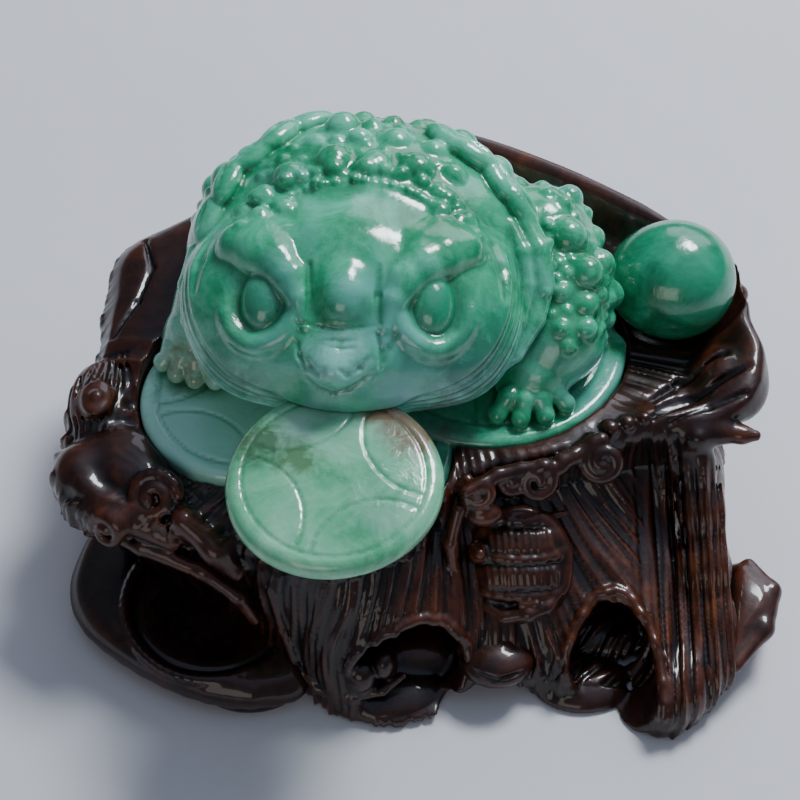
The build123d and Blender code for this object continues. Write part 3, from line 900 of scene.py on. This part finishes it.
def make_cap_right():
    """A folded fungus cap with a valley across it and a rolled edge."""
    clay = Clay((60, -82, -1), (100, -28, 23), 0.45)
    x, y, z = clay.window()[1]
    edge = outline(x, y, CAP_RIGHT_EDGE)
    along = (x - 84) * 0.6 + (y + 54) * 0.8
    top = 15.8 + 1.4 * np.sin(along / 6) - 3.0 * step(6, 0, -edge)
    top = top - 2.2 * np.exp(-((x - 83 - 0.15 * (y + 50)) / 2.2) ** 2)
    under = 4.8 + 0.35 * np.maximum(7 + edge, 0)
    clay.d[:] = smax(smax(edge + 0.5, z - top, 4), under - z, 3)
    clay.blob((84, -52, 3), (8.5, 9, 5), 2.5)
    clay.tube([(90, -38, 14.5), (95, -46, 14), (92, -57, 12.5), (84, -67, 10.5)],
              [2, 2.6, 2.6, 1.8], 2)
    clay.stand_flat()
    return clay


def make_bundle():
    """A bound sheaf on the apron: ribbed bands round an oval body, a swirl below."""
    wide, deep, high = size = (13.6, 7.6, 16)
    c, turn = np.array((26.5, -47, 28)), turned(0, -46.5)
    clay = Clay((8, -68, 6), (46, -30, 46), 0.4)
    clay.blob(c, size, 1, turn)

    def bands(p):
        q = local(p, c, turn)
        rows = np.exp(-((q[2] - 7) / 3.1) ** 6) + np.exp(-((q[2] + 2.6) / 3.1) ** 6)
        ribs = 1 - 1.4 * np.abs(np.sin(q[0] * 1.75 + 0.2 * q[2]))
        edge = np.exp(-(q[0] / 10.5) ** 8)
        rest = 0.25 * np.sin(q[0] * 1.3 + 1.2 * np.sin(q[2] / 3))
        return rows * edge * (1.1 + 0.24 * ribs) + (1 - np.minimum(rows, 1)) * rest

    def at(u, w, out=0.0):
        """A point on the front of the oval body."""
        d = sqrt(max(1 - (u / wide) ** 2 - (w / high) ** 2, 0.03))
        return c + turn @ (u, -deep * d - out, w)

    clay.push(bands)
    # the cords between the bands, the rim, the knot at the left and the swirl
    for w in (2.2, -7.6, 12.2):
        clay.tube([at(u, w + 0.012 * u * u, 0.1) for u in range(-12, 13, 3)], [0.8] * 9, 1.6)
    rim = [at(12.3 * cos(a), 14.2 * sin(a), -0.5) for a in np.radians(np.linspace(-60, 150, 22))]
    clay.tube(rim, [1.2] * len(rim), 2)
    clay.ball(at(-10.8, 4, 0.5), 3, 0.8)
    clay.ball(at(-10.8, 4, 3.8), 1.6, 0.5)
    clay.tube([at(-9, -10.5, 0.6), at(-4, -13, 1.2), at(2, -12, 1.4), at(7, -10.2, 1),
               at(9.5, -7.5, 0.6)], [1.4, 2, 2.2, 2, 1.2], 1)
    clay.tube([at(0, -9.6, 1), at(4, -9.4, 1.2), at(6.5, -11.4, 1)], [0.9, 1.1, 0.6], 0.6)
    return clay


def make_knob():
    clay = Clay((7, -79, 3), (42, -54, 20), 0.4)
    clay.blob((20.5, -66.5, 11.2), (9.8, 7.6, 5.4))
    clay.blob((20.5, -62, 14.2), (7, 4, 2.6), 1.5)
    clay.ball((12.5, -63, 12.5), 2.6, 1)
    clay.blob((33.5, -62, 10.5), (4.6, 3.6, 3.2), 1.5, turned(20))
    clay.tube([(24, -63, 12), (32, -62, 11)], [2.4, 2.2], 1.5)
    clay.tube([(13, -70.5, 14), (20, -73.6, 13.2), (27.5, -71, 13.6)], [0.4, 0.6, 0.4], 0.8, True)
    return clay


# ---- materials ----
class Nodes:
    """A material or a world, and a short way to add shader nodes to it."""

    def __init__(self, owner, shader="Principled BSDF", space="Object"):
        owner.use_nodes = True
        self.owner, self.tree = owner, owner.node_tree
        self.shader = self.tree.nodes[shader]
        self.place = self.node("ShaderNodeTexCoord").outputs[space]

    def put(self, node, values):
        """Sets a node's inputs, or links them to other nodes' outputs."""
        for socket, value in values.items():
            target = node.inputs[socket]
            if isinstance(value, bpy.types.NodeSocket):
                self.tree.links.new(value, target)
            else:
                target.default_value = value
        return node

    def node(self, kind, values={}, **settings):
        made = self.tree.nodes.new(kind)
        for key, value in settings.items():
            setattr(made, key, value)
        return self.put(made, values)

    def noise(self, scale, detail, rough, warp=0.0, stretch=(1, 1, 1), offset=(0, 0, 0)):
        place = self.place
        if (stretch, offset) != ((1, 1, 1), (0, 0, 0)):
            shift = self.node("ShaderNodeMapping", {"Vector": place, "Location": offset, "Scale": stretch})
            place = shift.outputs["Vector"]
        return self.node("ShaderNodeTexNoise", {
            "Vector": place, "Scale": scale, "Detail": detail, "Roughness": rough,
            "Distortion": warp}).outputs["Fac"]

    def ramp(self, value, stops):
        made = self.node("ShaderNodeValToRGB", {"Fac": value})
        marks = made.color_ramp.elements
        while len(marks) < len(stops):
            marks.new(0.5)
        for mark, (at, colour) in zip(marks, stops):
            mark.position = at
            mark.color = (*colour, 1)
        return made.outputs["Color"]

    def mix(self, share, a, b, kind="MIX"):
        a, b = (c if isinstance(c, bpy.types.NodeSocket) else (*c, 1) for c in (a, b))
        made = self.node("ShaderNodeMix", data_type="RGBA", blend_type=kind)
        return self.put(made, {0: share, 6: a, 7: b}).outputs[2]

    def maths(self, operation, *values):
        return self.node("ShaderNodeMath", dict(enumerate(values)), operation=operation).outputs[0]

    def spread(self, value, at_0, at_1):
        """Maps at_0 to 0 and at_1 to 1."""
        made = self.node("ShaderNodeMapRange", {"Value": value, "From Min": at_0, "From Max": at_1})
        return made.outputs["Result"]

    def painted_relief_shade(self, stops):
        """Painted light and shade from how hollow the surface is: raised at 0, flat at one half, hollow at
        1.
        """
        low = self.node("ShaderNodeAttribute", attribute_name="hollow").outputs["Fac"]
        return self.ramp(self.spread(low, -0.6, 0.6), stops)

    def bump(self, height, strength, distance):
        made = self.node("ShaderNodeBump", {"Height": height, "Strength": strength, "Distance": distance})
        self.put(self.shader, {"Normal": made.outputs["Normal"]})


def grey(value):
    return (value,) * 3


def jade(name, deep, mid, pale, cloud, cloud_at, stains_and_painted_light=()):
    """Mottled stone with clouds, flecks and coloured spots, some the stone's own colour and some painted
    light and shade: each spot's place and reach in mm, colour and onset.
    """
    m = Nodes(bpy.data.materials.new(name))
    colour = m.ramp(m.noise(44, 6, 0.66, 0.9), [(0.36, deep), (0.5, mid), (0.66, pale)])
    misty = m.ramp(m.noise(26, 3, 0.5, 0.3, offset=(3.1, 1.7, 0.4)),
                   [(cloud_at, grey(0)), (cloud_at + 0.17, grey(1))])
    colour = m.mix(misty, colour, cloud)
    fleck = m.ramp(m.noise(230, 5, 0.7, 0.5), [(0.47, grey(0)), (0.7, grey(0.38))])
    colour = m.mix(fleck, colour, pale)
    # some spots are the stone's own colour, others are painted light and shade
    for spot, size, tint_and_shading, onset in stains_and_painted_light:
        spot = [v * MM for v in spot]
        away = m.node("ShaderNodeVectorMath", {0: m.place, 1: spot}, operation="DISTANCE")
        near = m.spread(away.outputs["Value"], size * MM, 0.0)
        broken = m.maths("MULTIPLY", near, m.noise(210, 4, 0.65, 0.5, offset=(spot[0] * 90, 0, 0)))
        share = m.ramp(broken, [(onset, grey(0)), (onset + 0.22, grey(0.8))])
        colour = m.mix(share, colour, tint_and_shading)
    # painted shade darkens the hollows and a painted highlight lightens the raised parts
    tint_and_shading = m.painted_relief_shade([(0.35, (1.12, 1.06, 1.08)), (0.52, grey(1)), (0.95, (0.42, 0.66, 0.55))])
    m.put(m.shader, {
        "Base Color": m.mix(1.0, colour, tint_and_shading, "MULTIPLY"), "Roughness": 0.16, "IOR": 1.62,
        "Subsurface Weight": 0.35, "Subsurface Radius": (0.5, 1.0, 0.8), "Subsurface Scale": 0.0022,
        "Coat Weight": 0.35, "Coat Roughness": 0.06})
    m.bump(m.noise(150, 5, 0.62, 0.8), 0.6, 0.0004)
    return m.owner


def lacquer(name, tones):
    """Glossy stained wood with upright grain, painted shade in its hollows and painted highlights on its
    ridges; tones from dark to light.
    """
    m = Nodes(bpy.data.materials.new(name))
    base = m.ramp(m.noise(20, 4, 0.6, 0.8), list(zip((0.3, 0.48, 0.64, 0.8), tones)))
    grain = m.noise(110, 5, 0.6, 1.0, stretch=(2.0, 2.0, 0.3))
    streak = m.ramp(grain, [(0.36, (0.45, 0.42, 0.42)), (0.62, (1.15, 1.1, 1.08))])
    colour = m.mix(1.0, base, streak, "MULTIPLY")
    # painted highlight on the raised parts, painted shade in the hollows
    tint_and_shading = m.painted_relief_shade([(0.25, (1.45, 1.3, 1.2)), (0.48, grey(1)), (0.68, (0.16, 0.15, 0.15))])
    m.put(m.shader, {
        "Base Color": m.mix(1.0, colour, tint_and_shading, "MULTIPLY"), "Roughness": 0.38, "Specular IOR Level": 0.25,
        "Coat Weight": 0.55, "Coat Roughness": 0.07, "Coat IOR": 1.5})
    m.bump(m.noise(420, 3, 0.6, 0.4, stretch=(1, 1, 0.25)), 0.25, 0.0003)
    return m.owner


def dress(obj, mat, body, slot, *nodes):
    obj.data.materials.append(mat)
    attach(obj, body)
    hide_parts(*nodes)


JADE = jade("jade", (0.006, 0.22, 0.085), (0.028, 0.36, 0.175), (0.12, 0.55, 0.35),
            (0.17, 0.47, 0.43), 0.55, [
    ((-62, -26, 53), 50, (0.42, 0.82, 0.68), 0.05),  # painted sky light and reflection, paling the bed's left and front coins
    ((-20, -50, 53), 30, (0.3, 0.66, 0.54), 0.08),
    ((-21, -34, 92), 16, (0.24, 0.6, 0.5), 0.14),  # painted highlight, paler and bluer, on the snout
    ((-39, -18, 100), 13, (0.012, 0.24, 0.12), 0.12),  # eyes
    ((4, -18, 100), 13, (0.01, 0.25, 0.12), 0.12),
    ((16, -26, 84), 24, (0.015, 0.17, 0.1), 0.14),  # painted shade on both cheeks, which face away from the light
    ((-48, -26, 80), 18, (0.03, 0.22, 0.15), 0.14),
    ((4, -4, 104), 13, (0.008, 0.26, 0.1), 0.1),  # forehead
    ((6, -26, 64), 20, (0.1, 0.13, 0.1), 0.12),  # painted shadow under the chin
    ((-60, -4, 59), 15, (0.2, 0.26, 0.13), 0.16)])  # left hand
COIN_JADE = jade("pale jade", (0.05, 0.33, 0.15), (0.12, 0.47, 0.25), (0.26, 0.6, 0.38),
                 (0.32, 0.58, 0.46), 0.56, [
    ((-2, -42, 77), 13, (0.17, 0.055, 0.02), 0.13),  # rusty spots at the upper right
    ((-9, -37, 78), 10, (0.2, 0.06, 0.02), 0.16),
    ((-40, -45, 77), 14, (0.03, 0.08, 0.02), 0.15),  # mossy ones at the upper left
    ((-30, -50, 77), 12, (0.06, 0.15, 0.035), 0.18)])
EGG_JADE = jade("deep jade", (0.001, 0.1, 0.045), (0.003, 0.2, 0.09), (0.03, 0.36, 0.19),
                (0.07, 0.4, 0.27), 0.6)
ROSEWOOD = lacquer("rosewood", (
    (0.01, 0.003, 0.0022), (0.024, 0.007, 0.004), (0.06, 0.017, 0.006), (0.16, 0.055, 0.013)))
PEG_WOOD = lacquer("peg wood", (
    (0.16, 0.075, 0.03), (0.25, 0.12, 0.05), (0.34, 0.18, 0.08), (0.45, 0.26, 0.13)))

dress(make_toad(), JADE, "toad", "jade", "toad")
dress(make_coin(), COIN_JADE, "coin", "pale_jade", "mouth_coin")
dress(make_egg(), EGG_JADE, "jade_egg", "deep_jade", "egg")
for name in ("seat_pegs", "seam_dowels"):
    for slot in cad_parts[name].material_slots:
        slot.material = PEG_WOOD

stand = make_stand().surface()
for name, lo, hi in (
        ("seat_board", (-FAR, -FAR, JOINT_Z), (FAR, FAR, FAR)),
        ("front_root", (-FAR, -FAR, -FAR), (FAR, SEAM_FRONT, JOINT_Z)),
        ("left_root", (-FAR, SEAM_FRONT, -FAR), (SEAM_MIDDLE, SEAM_BACK, JOINT_Z)),
        ("right_root", (SEAM_MIDDLE, SEAM_FRONT, -FAR), (FAR, SEAM_BACK, JOINT_Z)),
        ("back_root", (-FAR, SEAM_BACK, -FAR), (FAR, FAR, JOINT_Z))):
    dress(part_of(stand, name, lo, hi), ROSEWOOD, "stand", "rosewood", name)
for name, make in (("fungus_cap_left", make_cap_left), ("fungus_cap_right", make_cap_right),
                   ("bundle", make_bundle), ("knob", make_knob)):
    dress(make().object(name), ROSEWOOD, "stand", "rosewood", name)

# ---- floor, light, camera; places here are in metres ----
FLOOR_GREY = (0.70, 0.70, 0.71)

bpy.ops.mesh.primitive_plane_add(size=8)
floor = bpy.context.object
floor.name = "floor"
look = Nodes(bpy.data.materials.new("floor"))
tone = look.ramp(look.noise(9, 3, 0.5), [(0.3, [c * 0.96 for c in FLOOR_GREY]), (0.7, FLOOR_GREY)])
look.put(look.shader, {"Base Color": tone, "Roughness": 0.7})
floor.data.materials.append(look.owner)

# the sky is brightest overhead, towards the back and the right
bpy.context.scene.world = bpy.data.worlds.new("world")
sky = Nodes(bpy.context.scene.world, "Background", "Generated")
aim = sky.node("ShaderNodeSeparateXYZ", {0: sky.place}).outputs
height = sky.maths("MULTIPLY_ADD", aim["Y"], 0.20, aim["Z"])
height = sky.maths("MULTIPLY_ADD", aim["X"], 0.35, height)
shade = sky.ramp(height, [(0.0, (0.21, 0.22, 0.26)), (0.6, (0.27, 0.31, 0.40)), (0.97, (0.86, 1.0, 1.40))])
sky.put(sky.shader, {"Strength": 0.42, "Color": shade})

for name, at, aim_z, (wide, high), power, colour in (
        ("window", (0.43, 0.50, 1.05), 0.06, (0.36, 0.30), 15, (0.90, 0.95, 1.0)),
        ("sky", (0.55, 1.2, 0.80), 0.05, (1.3, 0.8), 7, (0.84, 0.86, 1.0)),
        ("front", (-0.3, -1.3, 0.5), 0.05, (0.8, 0.6), 2.5, (1.0, 0.93, 0.86))):
    light = bpy.data.lights.new(name, "AREA")
    light.shape = "RECTANGLE"
    light.size, light.size_y = wide, high
    light.energy = power
    light.color = colour
    lamp = show(name, light)
    lamp.location = at
    lamp.rotation_euler = (Vector((0, 0, aim_z)) - Vector(at)).to_track_quat("-Z", "Y").to_euler()

TARGET, ELEVATION, DISTANCE = Vector((-0.005, -0.013, 0.055)), radians(50), 0.5
lens = bpy.data.cameras.new("camera")
lens.lens = 85
lens.sensor_width = 36
camera = show("camera", lens)
toward_camera = Vector((0, -cos(ELEVATION), sin(ELEVATION)))
camera.location = TARGET + toward_camera * DISTANCE
camera.rotation_euler = (-toward_camera).to_track_quat("-Z", "Y").to_euler()
bpy.context.scene.camera = camera
